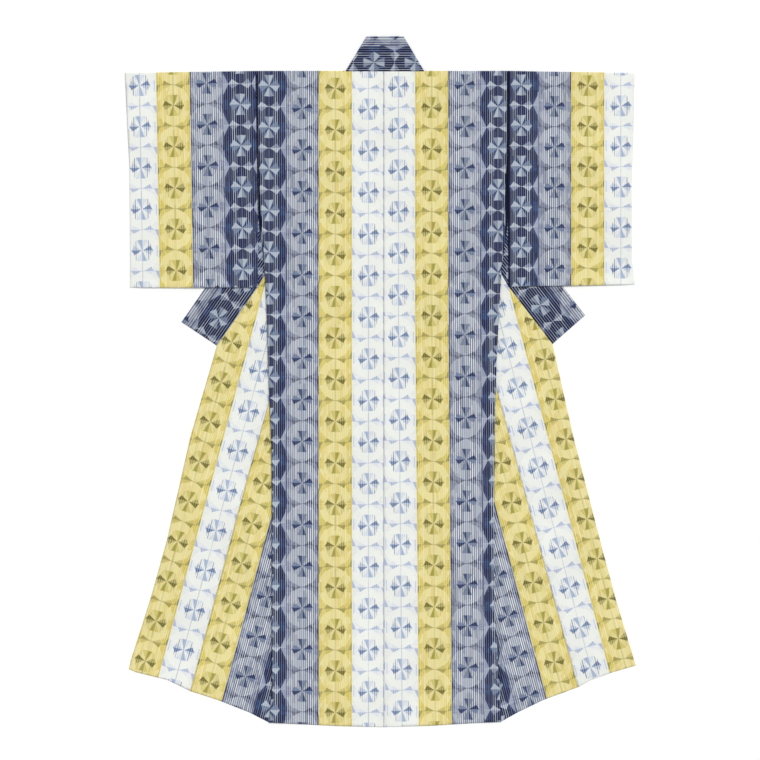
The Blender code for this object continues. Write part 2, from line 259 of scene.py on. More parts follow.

# Dyed colours on the white, yellow, grey and navy stripes, as sRGB hex and how much covers, and
# painted seam shade in the selvage row. The ground comes first, and each figure lies over those
# before it where its mask in_ shows it.
TONES = {
    "ground": ("EBEDE8FF", "D9C761FF", "75809AFF", "2A3A68FF"),
    "disc": ("F0F2ECFF", "E9DC98FF", "A6AEBDFF", "131D4CFF"),
    "haze": ("E4E9F080", "DDC95EA0", "7D85A4C0", "2A497AC0"),
    "weft line": ("DDE1E860", "C8B65590", "575E8190", "1E2654B0"),
    "dark yarn": ("EBEDEE60", "DAC566B0", "4E5974A8", "0D1440C0"),
    "corner": ("B4BFDAFF", "938B3AF0", "232958F0", "A2AABCFF"),
    "other corner": ("E8EBF000", "CFC06240", "555D8268", "929CB2FF"),
    "bow line": ("BFC8DAB0", "A3974EB0", "2D3561E0", "C5CBDA80"),
    "bow": ("DFE4EDFF", "C5B86CFF", "5F6A86FF", "9EA9BDFF"),
    "bow strong": ("A7B5D0FF", "8E8742FF", "192149FF", "CDD3DCFF"),
    "wheel": ("E8ECF180", "DACD7EA0", "7F8A9BC0", "2A4472E0"),
    "upright pale": ("D2DBE6F0", "C9BB5AF0", "6B7890FF", "A0ABBAFF"),
    "upright strong": ("9DB0CCFF", "978E32FF", "1A3260FF", "BAC4CFFF"),
    "side pale": ("B6C4D9F0", "A39B60F0", "6C7B9BF0", "8C9AB0FF"),
    "side strong": ("5F79A4F0", "655F16F0", "122656FF", "BCC6D1FF"),
    "streak": ("34497CE0", "565014E0", "1C2B6000", "1C2B6000"),
    "dark thread": ("C9D0DC00", "CDB84A00", "222B52E0", "060A28D0"),
    "light thread": ("FFFFFF00", "F7EFC4B0", "F8FAFDFF", "D6E0EBFF"),
    "dash": ("A9B5D2C0", "BFB05CA0", "9097AE60", "50598000"),
    "middle line": ("A3AEC4B0", "A8A489B0", "D5DBE560", "BCC5D468"),
    "edge line": ("E8EAEC00", "C9B75800", "222856C8", "23285600"),
    # The bolt's dark selvage, and painted seam shade where the sleeves and hidden fronts meet the
    # armhole
    "selvage": ("EEF0EE00", "DCC85C00", "131A3800", "0B102AFF"),
}


def linear(hex_colour):
    """Turn an sRGB hex colour, with or without its cover, into linear numbers."""
    parts = [int(hex_colour[i:i + 2], 16) / 255 for i in range(0, len(hex_colour), 2)]
    light = [part / 12.92 if part <= 0.04045 else ((part + 0.055) / 1.055) ** 2.4 for part in parts[:3]]
    return (*light, parts[3] if len(parts) > 3 else 1.0)


def length(name, description, default):
    """A length that the panel shows."""
    return bpy.props.FloatProperty(name=name, description=description, default=default, unit="LENGTH")


class KimonoSizes(bpy.types.PropertyGroup):
    """Sizes of the cloth and its woven repeat."""

    cloth: length("Cloth", "Thickness of the cotton", 0.0007)
    collar_cloth: length("Collar cloth", "Thickness of the folded collar", 0.0010)
    layer_step: length("Layer step", "Rise from one layer to the next", 0.0014)
    spacing: length("Mesh spacing", "Distance between points of the cloth", 0.0052)
    stripe: length("Stripe", "Width of one coloured stripe", 0.0845)
    repeat: length("Repeat", "Length of one figure with its bow", 0.1052)
    stitch_spacing: length("Stitch spacing", "Distance between blind stitches", 0.022)
    stitch_length: length("Stitch length", "How much thread shows", 0.0016)
    stitch_width: length("Stitch width", "Thickness of the thread", 0.0006)


class KimonoColours(bpy.types.PropertyGroup):
    """Colours of thread and floor."""

    thread: bpy.props.FloatVectorProperty(
        name="Thread", description="Cotton sewing thread", subtype="COLOR", default=linear("D9D6C4")[:3])
    floor: bpy.props.FloatVectorProperty(
        name="Floor", description="Plain pale floor", subtype="COLOR", default=linear("FDFDFD")[:3])


def on_plan(side, rows):
    """Turn (distance, drop) rows into points on the plan."""
    return [Vector((side["sign"] * width, -drop)) for width, drop in rows]


def moved_aside(points, distance):
    """Offset an open run of points to the left of its direction."""
    moved = []
    for index, point in enumerate(points):
        along = (points[min(index + 1, len(points) - 1)] - points[max(index - 1, 0)]).normalized()
        moved.append(point + distance * Vector((-along.y, along.x)))
    return moved


def skirt_fold_ends(side):
    """Ends of the fold on which a front skirt turns out, for the body and for the collar."""
    top, hem = on_plan(side, side["skirt_fold"])
    along = (hem - top).normalized()
    crossing = top + along * ((-side["fold_meets_collar"] - top.y) / along.y)
    return {
        "collar_top": top,
        "collar_end": crossing - along * COLLAR_SEAM_START,
        "body_top": crossing + along * SEAM_GAP,
        "hem": hem,
    }


def body_plan(name):
    """One body length: back, hidden front under it, and the skirt turned out."""
    side = SIDES[name]
    sign = side["sign"]
    fold = skirt_fold_ends(side)
    shoulder_ends = (side["armhole"][0][0], side["neck"][0] + NECK_INSET)
    shoulder = on_plan(side, [(width, FOLD_INSET) for width in shoulder_ends])
    side_edge = on_plan(side, side["armhole"][1:] + side["side_seam"])
    furrow = [Vector((point.x - sign * FURROW, min(point.y, -FURROW_START)))
              for point in on_plan(side, side["armhole"])]
    centre = [Vector((sign * SEAM_GAP / 2, -CENTRE_HEM)), Vector((sign * SEAM_GAP / 2, -FOLD_INSET))]
    hem = on_plan(side, side["back_hem"])
    back = [shoulder[0]] + furrow + side_edge[1:] + hem + centre + [shoulder[1]]
    hidden_end = side["hidden_edge"][-1][1] + SEAM_GAP
    below = next(k for k, point in enumerate(side_edge) if -point.y > hidden_end)
    hidden_edge = on_plan(side, side["hidden_edge"]) + side_edge[below:]
    hidden = [shoulder[0]] + hidden_edge + [fold["hem"], fold["body_top"], shoulder[1]]
    seam = [fold["body_top"]] + on_plan(side, [side["okumi_tip"]] + side["okumi_seam"])
    seam = [seam[0]] + moved_aside(seam, -sign * SEAM_GAP / 2)[1:]
    skirt = seam + on_plan(side, side["front_hem"]) + [fold["hem"]]
    layers = {"back": (2, back, name + " back"), "hidden front": (1, hidden, name + " hidden front"),
              "skirt": (0, skirt, name + " skirt")}
    turns = [("back", "hidden front", shoulder),
             ("hidden front", "skirt", [fold["body_top"], fold["hem"]])]
    return layers, turns


def okumi_plan(name):
    """The overlap panel, wholly turned out with the skirt."""
    side = SIDES[name]
    sign = side["sign"]
    tip = on_plan(side, [side["okumi_tip"]])[0]
    seam = moved_aside([tip] + on_plan(side, side["okumi_seam"]), sign * SEAM_GAP / 2)[1:]
    collar_seam = moved_aside([tip] + on_plan(side, side["collar_seam"]), -sign * SEAM_GAP)[1:]
    inward = ((seam[0] - tip).normalized() + (collar_seam[0] - tip).normalized()).normalized()
    start = tip + inward * OKUMI_TIP_CLEARANCE
    outline = [start] + collar_seam + on_plan(side, side["front_edge"] + side["okumi_hem"])
    return {"panel": (0, outline + seam[::-1], name + " okumi")}, []


def sleeve_plan(name):
    """A sleeve folded at the shoulder, closed at the bottom and the lower cuff."""
    side = SIDES[name]
    sign = side["sign"]
    armhole = [point + Vector((sign * SEAM_GAP, 0.0)) for point in on_plan(side, side["armhole"])]
    armhole[0].y = -FOLD_INSET
    inner_bottom = on_plan(side, [side["sleeve_inner"]])[0]
    cuff = [point - Vector((sign * FOLD_INSET, 0.0)) for point in on_plan(side, side["cuff"])]
    cuff[-1].y -= FOLD_INSET
    outline = armhole + [inner_bottom] + cuff
    closed = [inner_bottom] + cuff[:CUFF_OPENING + 1]
    furrow = [Vector((point.x + sign * FURROW, min(point.y, -FURROW_START))) for point in armhole]
    layers = {"back": (2, armhole[:1] + furrow + [inner_bottom] + cuff, name + " sleeve"),
              "front": (1, outline, name + " sleeve")}
    return layers, [("back", "front", [cuff[-1], armhole[0]]), ("back", "front", closed)]


def collar_plan(_):
    """The collar strip: round the back neck, turned down at each side and out with each skirt."""
    neck_back = []
    layers = {}
    turns = []
    for name, side in SIDES.items():
        sign = side["sign"]
        fold = skirt_fold_ends(side)
        corner, base = on_plan(side, [(side["collar_corner"][0] - COLLAR_TURN_INSET, COLLAR_TOP),
                                      (side["neck"][0] - COLLAR_TURN_INSET, COLLAR_BASE)])
        neck_back.append([corner, base])
        wedge = [corner, base, fold["collar_end"], fold["collar_top"]]
        seam = moved_aside(on_plan(side, [side["okumi_tip"]] + side["collar_seam"]), sign * SEAM_GAP / 2)
        front = [fold["collar_end"]] + seam + on_plan(side, side["collar_free_edge"])
        layers[name + " wedge"] = (1, wedge, name + " collar")
        layers[name + " front"] = (0, front + [fold["collar_top"]], name + " collar")
        turns += [("neck", name + " wedge", [corner, base]),
                  (name + " wedge", name + " front", [fold["collar_end"], fold["collar_top"]])]
    left, right = neck_back
    layers["neck"] = (2, left + right[::-1], "neck")
    return layers, turns


def inside(points, outline):
    """Which of an array of points lie inside an outline."""
    found = np.zeros(len(points), bool)
    for first, second in zip(outline, outline[1:] + outline[:1]):
        crosses = (first.y > points[:, 1]) != (second.y > points[:, 1])
        rise = second.y - first.y if second.y != first.y else 1.0
        reach = first.x + (points[:, 1] - first.y) * (second.x - first.x) / rise
        found ^= crosses & (points[:, 0] < reach)
    return found


def distance_to_run(points, run):
    """Distance of each of an array of points to a run, and how far along the run it is."""
    best = np.full(len(points), 1e9)
    share = np.zeros(len(points))
    for first, second in zip(run, run[1:]):
        start = np.array(first[:2])
        along = np.array(second[:2]) - start
        part = np.clip((points - start) @ along / (along @ along), 0.0, 1.0)
        away = np.hypot(*(points - start - part[:, None] * along).T)
        share = np.where(away < best, part, share)
        best = np.minimum(best, away)
    return best, share


class LayerHeights:
    """Heights of the laid cloth: each layer lies on those below it, with soft steps and creases."""

    CELL = 0.010
    SPREAD = 3
    LOW = (-0.72, -1.76)
    COUNTS = (145, 190)

    def __init__(self, plans, step):
        self.step = step
        self.low = np.array(self.LOW)
        columns, rows = self.COUNTS
        cells = [(i, j) for i in range(columns) for j in range(rows)]
        spots = self.low + self.CELL * np.array(cells)
        self.cover = []
        for level in (0, 1):
            cover = np.zeros(len(spots), bool)
            for layers, _ in plans:
                for layer_level, outline, _ in layers.values():
                    if layer_level == level:
                        cover |= inside(spots, outline)
            self.cover.append(self.softened(cover.reshape(self.COUNTS).astype(float)))

    def softened(self, cover):
        """Grow a covered area and then blur it, so that it stays whole where cloth lies."""
        for blend, reach in ((np.max, self.SPREAD + 1), (np.mean, self.SPREAD)):
            for axis in (0, 1):
                cover = blend([np.roll(cover, k, axis) for k in range(-reach, reach + 1)], axis=0)
        return cover

    def sampled(self, cover, points):
        place = (points - self.low) / self.CELL
        cell = np.floor(place).astype(int)
        a, b = (place - cell).T
        i, j = cell.T
        near = cover[i, j] * (1 - a) + cover[i + 1, j] * a
        far = cover[i, j + 1] * (1 - a) + cover[i + 1, j + 1] * a
        return near * (1 - b) + far * b

    def at(self, level, points):
        """Height of the underside of a level at each point."""
        height = np.zeros(len(points))
        for below in range(min(level, 2)):
            height += self.step * self.sampled(self.cover[below], points)
        for side_name, lowest, start, end, rise, half_width in CREASES + RAISED_EDGES:
            if level < lowest:
                continue
            run = on_plan(SIDES[side_name], [start, end])
            away, share = distance_to_run(points, run)
            length = (run[1] - run[0]).length
            fade = np.clip(np.minimum(share, 1 - share) * length / (FADE_LENGTH * half_width), 0.0, 1.0)
            if lowest == 2 and half_width < NARROW:
                fade = np.maximum(fade, LEAST_FADE)
            height += rise * fade * np.exp(-(away / half_width) ** 2)
        if level == 2:
            x, y = points.T
            swell = np.sin(23.0 * x + 5.0 * y + 0.7) * np.sin(7.0 * y - 3.0 * x + 1.9)
            height += SWELL * (1.0 + swell)
        return height


def cut_cloth(outline, spacing, level):
    """Points and triangles of flat cloth inside an outline, closer together along sharp creases."""
    edge = []
    for first, second in zip(outline, outline[1:] + outline[:1]):
        steps = max(1, math.ceil((second - first).length / spacing))
        edge += [first.lerp(second, k / steps) for k in range(steps)]
    low = np.min([point[:] for point in outline], axis=0)
    high = np.max([point[:] for point in outline], axis=0)
    across = np.arange(math.floor(low[0] / spacing), math.ceil(high[0] / spacing) + 1) * spacing
    along = np.arange(math.floor(low[1] / spacing), math.ceil(high[1] / spacing) + 1) * spacing
    grid = np.array([(x, y) for x in across for y in along])
    for side_name, lowest, *ends, rise, half_width in CREASES:
        if level < lowest or half_width > spacing:
            continue
        first, second = on_plan(SIDES[side_name], ends)
        beside = (second - first).orthogonal().normalized() * half_width
        steps = math.ceil((second - first).length / spacing)
        rows = [first.lerp(second, k / steps) + beside * share
                for share in CREASE_ROWS for k in range(steps + 1)]
        grid = grid[distance_to_run(grid, [first, second])[0] > CREASE_BAND * half_width]
        grid = np.vstack((grid, [row[:] for row in rows]))
    grid = grid[inside(grid, outline)]
    away = distance_to_run(grid, outline + outline[:1])[0] if len(grid) else grid
    grid = grid[away > spacing * EDGE_SHARE] if len(grid) else grid
    points = edge + [Vector(spot) for spot in grid]
    rim = [(k, (k + 1) % len(edge)) for k in range(len(edge))]
    spots, _, faces, *_ = delaunay_2d_cdt(points, rim, [list(range(len(edge)))], 1, 1e-7)
    return spots, faces


def verts_on_run(verts, run):
    """The vertices that lie on a run, in its order."""
    points = np.array([vert.co.xy[:] for vert in verts])
    placed = []
    travelled = 0.0
    for first, second in zip(run, run[1:]):
        away, share = distance_to_run(points, [first, second])
        length = (second - first).length
        placed += [(travelled + share[k] * length, k) for k in np.nonzero(away < SAME_PLACE)[0]]
        travelled += length
    found = {}
    for distance, index in sorted(placed):
        found.setdefault(int(index), distance)
    return [verts[index] for index in sorted(found, key=found.get)]


def turn_cloth(mesh, upper, lower, middle_of_cloth):
    """Join two layers round a fold with a half round of cloth."""
    if len(upper) != len(lower):
        raise ValueError("the two layers of a fold are cut differently")
    normals = []
    for first, second in zip(upper, upper[1:]):
        along = (second.co - first.co).xy.normalized()
        normal = Vector((along.y, -along.x))
        if normal.dot(first.co.xy - middle_of_cloth) < 0.0:
            normal = -normal
        normals.append(normal)
    rings = []
    arcs = [math.radians(degrees) for degrees in (45.0, 0.0, -45.0)]
    for index, (top, bottom) in enumerate(zip(upper, lower)):
        before = normals[max(index - 1, 0)]
        after = normals[min(index, len(normals) - 1)]
        outward = (before + after).normalized()
        outward /= max(outward.dot(before), 0.5)
        radius = (top.co.z - bottom.co.z) / 2
        centre = (top.co + bottom.co) / 2
        ring = [top]
        for arc in arcs:
            reach = radius * math.cos(arc)
            spot = centre + Vector((outward.x * reach, outward.y * reach, radius * math.sin(arc)))
            ring.append(mesh.verts.new(spot))
        rings.append(ring + [bottom])
    made = []
    for first, second in zip(rings, rings[1:]):
        for k in range(len(first) - 1):
            made.append(mesh.faces.new((first[k], second[k], second[k + 1], first[k + 1])))
    return made


def cloth_piece(name, plan, heights, thickness, spacing):
    """Cut, lay, fold and map one piece of the garment."""
    layers, turns = plan
    mesh = bmesh.new()
    loom = mesh.loops.layers.uv.new("loom")
    print_places = mesh.faces.layers.float_vector.new("print places")
    faces_of = {}
    verts_of = {}
    middles = {}
    for layer_name, (level, outline, print_name) in layers.items():
        spots, faces = cut_cloth(outline, spacing, level)
        points = np.array([spot[:] for spot in spots])
        level_heights = heights.at(level, points) + thickness / 2
        verts = [mesh.verts.new((x, y, z)) for (x, y), z in zip(points, level_heights)]
        faces_of[layer_name] = [mesh.faces.new([verts[k] for k in face]) for face in faces]
        verts_of[layer_name] = verts
        middles[layer_name] = Vector(points.mean(axis=0))
    for upper_name, lower_name, run in turns:
        upper = verts_on_run(verts_of[upper_name], run)
        lower = verts_on_run(verts_of[lower_name], run)
        faces_of[upper_name] += turn_cloth(mesh, upper, lower, middles[upper_name])
    for layer_name, (level, outline, print_name) in layers.items():
        start, across, along, turn, wide, long, *places = PRINTS[print_name]
        side = LEFT if print_name.startswith("left") else RIGHT
        origin = on_plan(side, [start])[0]
        angle = math.radians(turn)
        right = Vector((math.cos(angle), math.sin(angle)))
        up = Vector((-math.sin(angle), math.cos(angle)))
        for face in faces_of[layer_name]:
            face[print_places] = Vector(places)
            for loop in face.loops:
                offset = loop.vert.co.xy - origin
                if print_name == "right back":
                    offset.x -= RIGHT_BACK_SLANT * max(0.0, -offset.y - SLANT_START)
                loop[loom].uv = (across + offset.dot(right) * wide, along + offset.dot(up) * long)
    bmesh.ops.recalc_face_normals(mesh, faces=mesh.faces[:])
    top = max(faces_of[next(iter(faces_of))], key=lambda face: face.calc_area())
    if top.normal.z < 0.0:
        bmesh.ops.reverse_faces(mesh, faces=mesh.faces[:])
    for vert in mesh.verts:
        vert.co += PLAN_ORIGIN
    data = bpy.data.meshes.new(name)
    mesh.to_mesh(data)
    mesh.free()
    data.shade_smooth()
    piece = bpy.data.objects.new(name, data)
    bpy.context.scene.collection.objects.link(piece)
    wall = piece.modifiers.new("Cloth wall", "SOLIDIFY")
    wall.thickness = thickness
    wall.offset = 0.0
    wall.use_even_offset = True
    return piece


def stitch_runs(heights, thickness):
    """The lines of blind stitches on the hems, front edges, cuffs and open sleeve edges."""
    runs = []
    for side in SIDES.values():
        sign = side["sign"]
        back_hem = [side["side_seam"][-1]] + side["back_hem"] + [(CENTRE_CLEARANCE, CENTRE_HEM)]
        rows = [(2, back_hem, -HEM_DEPTH), (0, side["okumi_hem"] + side["front_hem"], -HEM_DEPTH),
                (0, side["front_edge"], -EDGE_DEPTH), (2, side["cuff"][CUFF_OPENING:], EDGE_DEPTH),
                (2, [side["armhole"][-1], side["sleeve_inner"]], EDGE_DEPTH)]
        for level, places, inset in rows:
            run = moved_aside(on_plan(side, places), sign * inset)
            spots = []
            for first, second in zip(run, run[1:]):
                steps = max(1, round((second - first).length / STITCH_RUN_STEP))
                spots += [first.lerp(second, k / steps)[:] for k in range(steps)]
            points = np.array(spots)
            surface = heights.at(level, points) + thickness
            runs.append([Vector((x, y, z)) + PLAN_ORIGIN for (x, y), z in zip(points, surface)])
    return runs


def stitch_tree():
    """Geometry nodes that set small stitches along the edges of a mesh."""
    tree = bpy.data.node_groups.new("blind stitches", "GeometryNodeTree")
    for name, kind in (("Seams", "Geometry"), ("Spacing", "Float"), ("Length", "Float"),
                       ("Width", "Float"), ("Thread", "Material")):
        tree.interface.new_socket(name=name, in_out="INPUT", socket_type="NodeSocket" + kind)
    tree.interface.new_socket(name="Stitches", in_out="OUTPUT", socket_type="NodeSocketGeometry")
    given = add_node(tree, "NodeGroupInput").outputs
    line = add_node(tree, "GeometryNodeMeshToCurve", inputs={0: given["Seams"]})
    places = add_node(tree, "GeometryNodeCurveToPoints", {"mode": "LENGTH"},
                      {"Curve": line.outputs[0], "Length": given["Spacing"]})
    bead = add_node(tree, "GeometryNodeMeshIcoSphere", inputs={"Radius": 0.5, "Subdivisions": 1})
    size = add_node(tree, "ShaderNodeCombineXYZ", inputs={
        0: given["Width"], 1: given["Width"], 2: given["Length"]})
    uneven = add_node(tree, "FunctionNodeRandomValue", {"data_type": "FLOAT"}, {
        "Min": 0.75, "Max": 1.2, "Seed": 7})
    scaled = add_node(tree, "ShaderNodeVectorMath", {"operation": "SCALE"}, {
        0: size.outputs[0], "Scale": uneven.outputs["Value"]})
    stitches = add_node(tree, "GeometryNodeInstanceOnPoints", inputs={
        "Points": places.outputs["Points"], "Instance": bead.outputs["Mesh"],
        "Rotation": places.outputs["Rotation"], "Scale": scaled.outputs[0]})
    real = add_node(tree, "GeometryNodeRealizeInstances", inputs={0: stitches.outputs[0]})
    dressed = add_node(tree, "GeometryNodeSetMaterial", inputs={
        "Geometry": real.outputs[0], "Material": given["Thread"]})
    add_node(tree, "NodeGroupOutput", inputs={0: dressed.outputs[0]})
    return tree


def cut_area(plan):
    """Flat area of all the layers of a piece."""
    total = 0.0
    for _, outline, _ in plan[0].values():
        pairs = zip(outline, outline[1:] + outline[:1])
        total += abs(sum(first.cross(second) for first, second in pairs)) / 2
    return total


def add_node(tree, kind, settings=None, inputs=None):
    """Add a node, set its properties, and fill or link its inputs."""
    node = tree.nodes.new(kind)
    for name, value in (settings or {}).items():
        setattr(node, name, value)
    for key, value in (inputs or {}).items():
        if isinstance(value, bpy.types.NodeSocket):
            tree.links.new(value, node.inputs[key])
        else:
            node.inputs[key].default_value = value
    return node


# Sums of the loom's plan, mostly in millimetres: a result, an operation and its terms, which are
# numbers or earlier results. Results named in_ are masks, held between 0 and 1. A soft mask
# feathers over SOFT_EDGE where its depth, or its first term less its second, passes nought.
SIGNS = {"*": "MULTIPLY", "+": "ADD", "-": "SUBTRACT", "/": "DIVIDE", "*+": "MULTIPLY_ADD"}
PLACE_SUMS = [
    ("stripes", "/", "u", "stripe width"),
    ("share", "/", "stripes", 4.0),
    ("stripe", "FLOOR", "stripes"),
    ("odd", "FLOORED_MODULO", "stripe", 2.0),
    ("grey", "COMPARE", "stripe", 2.0, 0.1),
    ("in_stripe", "FRACT", "stripes"),
    ("x", "*+", "in_stripe", "stripe in mm", "minus half stripe"),
    ("in_navy", "-", "stripe", 2.0),
    ("grey ahead", "*", "grey", "lead of grey"),
    ("all ahead", "*+", "in_navy", "lead of navy", "grey ahead"),
    ("level v", "-", "v", "all ahead"),
    ("repeats", "/", "level v", "repeat length"),
    ("stagger", "*+", "odd", 0.5, 0.5),
    ("shifted", "+", "repeats", "stagger"),
    ("in_repeat", "FRACT", "shifted"),
    ("y", "*+", "in_repeat", "repeat in mm", "minus half repeat"),
    # The special warp threads, evenly across each stripe
    ("thread place", "*+", "u", "threads to a metre", 0.5),
    ("thread", "FLOOR", "thread place"),
    ("thread turn", "*", "x", "turns to a millimetre"),
    ("thread wave", "COSINE", "thread turn"),
    ("thread offset", "*+", "in_navy", "narrower", 0.12),
    ("in_thread", "*+", "thread wave", 1.1, "thread offset"),
    ("weft place", "/", "v", YARN / 1000),
    ("weft", "FLOOR", "weft place"),
]
RUN_SUMS = [
    ("run place", "*+", "v", 21.0, "thread chance"),
    ("run", "FLOOR", "run place"),
]
FIGURE_SUMS = [
    # Tied yarns slip a little along the warp
    ("slip", "*+", "thread chance", RESIST_SLIP, -RESIST_SLIP / 2),
    ("small slip", "*", "slip", 0.25),
    ("slipped y", "+", "y", "slip"),
    ("kite y", "+", "y", "small slip"),
    ("wide", "ABSOLUTE", "x"),
    ("high", "ABSOLUTE", "slipped y"),
    ("kite high", "ABSOLUTE", "kite y"),
    ("true high", "ABSOLUTE", "y"),
    ("bow high", "-", "half repeat", "kite high"),
    # Quarters of a figure, mirrored on every second stripe
    ("sense", "*+", "odd", -2.0, 1.0),
    ("turned x", "*", "x", "sense"),
    ("in_right", "soft", "turned x"),
    ("in_upper", "soft", "y"),
    ("both", "*", "in_right", "in_upper"),
    ("either", "+", "in_right", "in_upper"),
    ("twice", "*+", "both", 2.0, 1.0),
    ("in_same", "-", "twice", "either"),
    ("in_crossed", "-", 1.0, "in_same"),
    # Figures show on the special threads, but between them on grey
    ("thread on grey", "*", "in_thread", "grey"),
    ("thread or grey", "+", "in_thread", "grey"),
    ("in_shown", "*+", "thread on grey", -2.0, "thread or grey"),
    ("in_partly", "*+", "in_shown", 0.5, 0.56),
    ("in_mostly", "*+", "in_shown", 0.30, 0.74),
    # Large disc
    ("disc x", "/", "wide", DISC_HALF_WIDTH),
    ("disc y", "/", "high", DISC_HALF_HEIGHT),
    ("disc xx", "*", "disc x", "disc x"),
    ("disc r", "*+", "disc y", "disc y", "disc xx"),
    ("disc radius", "SQRT", "disc r"),
    ("disc depth", "*+", "disc radius", -45.0, 45.0),
    ("in_disc", "soft", "disc depth"),
    ("in_outside", "-", 1.0, "in_disc"),
    # Small triangles at the stripe's edges, level with the bow
    ("corner width", "*+", "in_navy", NAVY_CORNER, "corner inset"),
    ("corner reach", "+", "wide", "corner width"),
    ("corner depth", "*+", "bow high", -CORNER_SLOPE, "corner reach"),
    ("in_corners", "soft", "corner depth"),
    ("in_corner", "*", "in_corners", "in_same"),
    ("in_other corner", "*", "in_corners", "in_crossed"),
    # Bow between two discs
    ("bow slope", "*+", "in_navy", NAVY_BOW_SPREAD, BOW_SLOPE),
    ("bow lean", "*", "wide", "bow slope"),
    ("bow rise", "-", "bow lean", BOW_START),
    ("bow fall", "*+", "wide", -BOW_TIP_SLOPE, BOW_TIP_SLOPE * BOW_TIP),
    ("bow top", "MINIMUM", "bow rise", "bow fall"),
    ("in_bow shape", "soft", "bow top", "bow high"),
    ("in_bow", "*", "in_bow shape", "in_partly"),
    ("in_bow strong", "*", "in_bow", "in_crossed"),
    ("line depth", "-", "true high", "bow line start"),
    ("in_bow line", "*+", "line depth", 1.0, 0.5),
    # Wheel of eight sectors
    ("wheel xx", "*", "wide", "wide"),
    ("wheel r", "*+", "high", "high", "wheel xx"),
    ("wheel radius", "SQRT", "wheel r"),
    ("in_wheel shape", "soft", WHEEL_REACH, "wheel radius"),
    ("in_wheel", "*", "in_wheel shape", "in_partly"),
    ("in_upright end", "soft", WHEEL_REACH, "kite high"),
    ("pale depth", "*+", "high", PALE_UPRIGHT_SLOPE, "small slip"),
    ("in_pale side", "soft", "pale depth", "wide"),
    ("in_upright", "*", "in_pale side", "in_upright end"),
    ("in_upright pale", "*", "in_upright", "in_partly"),
    ("strong depth", "*+", "high", UPRIGHT_VANE_SLOPE, "small slip"),
    ("strong side", "-", "strong depth", "wide"),
    ("in_strong side", "*+", "strong side", 1 / SOFT_EDGE, 0.9),
    ("in_upright strong", "*", "in_strong side", "in_upright end", "in_crossed", "in_mostly"),
    ("side slope", "*+", "in_navy", NAVY_SPREAD, VANE_SLOPE),
    ("side lean", "*", "wide", "side slope"),
    ("side start", "*+", "in_navy", NAVY_VANE_START - VANE_START, VANE_START),
    ("side rise", "-", "side lean", "side start"),
    ("side fall", "*+", "wide", -VANE_TIP_SLOPE, VANE_TIP_SLOPE * VANE_TIP),
    ("side top", "MINIMUM", "side rise", "side fall"),
    ("in_side", "soft", "side top", "kite high"),
    ("in_side pale", "*", "in_side", "in_partly"),
    ("in_side strong", "*", "in_side", "in_same", "in_mostly"),
    # The special threads, strongest a little way out from the middle
    ("from strong", "-", "wide", STRONG_THREAD),
    ("off strong", "ABSOLUTE", "from strong"),
    ("in_near strong", "*+", "off strong", -0.15, 1.35),
    ("thread base", "*+", "in_navy", "stronger", 0.74),
    ("thread gain", "*+", "in_navy", 0.79, 0.10),
    ("thread strength", "*+", "in_near strong", "thread gain", "thread base"),
    ("thread fate", "*+", "thread chance", 0.8, 0.42),
    ("run luck", "*+", "run chance", 0.6, 0.6),
    ("thread luck", "*", "thread fate", "run luck"),
    ("thread cover", "*", "thread strength", "thread luck"),
    ("covered bow", "*", "in_bow", 0.45),
    ("covered upright", "*", "in_upright", 0.75),
    ("covered side", "*", "in_side", 0.92),
    ("covered vanes", "MAXIMUM", "covered side", "covered upright"),
    ("covered", "MAXIMUM", "covered vanes", "covered bow"),
    ("in_clear", "-", 1.0, "covered"),
    ("in_light thread", "*", "in_thread", "thread cover", "in_clear"),
    ("in_between", "*", "thread wave", -1.1),
    ("in_dark thread", "*", "in_between", "thread cover", "in_clear"),
    ("streak reach", "*+", "wide", -2.0, 57.0),
    ("streak top", "MINIMUM", "streak reach", 26.0),
    ("in_streak zone", "soft", "streak top", "high"),
    ("in_streak", "*", "in_thread", "in_near strong", "in_streak zone", "thread luck"),
    # Lines along the warp, and weft tints
    ("dash away", "-", "wide", SIDE_DASH),
    ("dash off", "ABSOLUTE", "dash away"),
    ("in_dash width", "*+", "dash off", -1.0, 1.4),
    ("dash end", "-", SIDE_DASH_HALF_HEIGHT, "high"),
    ("in_dash length", "*", "dash end", 1 / SOFT_EDGE),
    ("in_dash", "*", "in_dash width", "in_dash length"),
    ("middle away", "-", MIDDLE_LINE_HALF_WIDTH, "wide"),
    ("in_middle width", "*+", "middle away", 1.0, 0.5),
    ("middle luck", "*+", "run depth", 0.6, 0.4),
    ("in_middle line", "*", "in_middle width", "middle luck"),
    ("edge away", "-", "wide", "edge line start"),
    ("in_edge width", "*+", "edge away", 1.0, 0.5),
    ("edge luck", "*+", "run depth", 2.0, -0.5),
    ("in_edge line", "*", "in_edge width", "edge luck"),
    # The dark selvage, which also paints the armhole seam's shade where it starts early
    ("selvage depth", "-", "u", "selvage start"),
    ("in_selvage", "*", "selvage depth", 1000.0),
    ("haze side", "-", "wide", HAZE_START),
    ("in_haze side", "*", "haze side", 0.25),
    ("haze end", "-", HAZE_HALF_HEIGHT, "high"),
    ("in_haze end", "*", "haze end", 0.2),
    ("in_haze", "*", "in_haze side", "in_haze end"),
    ("dark chance", "-", "run depth", 0.55),
    ("in_dark yarn", "*", "dark chance", 2.2),
    ("weft shade", "-", "weft chance", 0.55),
    ("in_weft shade", "*", "weft shade", 4.0),
    ("beyond", "+", "in_outside", "in_haze"),
    ("in_weft line", "*", "in_weft shade", "beyond"),
]


def add_sum(tree, operation, terms, clamp):
    settings = {"operation": SIGNS.get(operation, operation), "use_clamp": clamp}
    return add_node(tree, "ShaderNodeMath", settings, dict(enumerate(terms))).outputs[0]


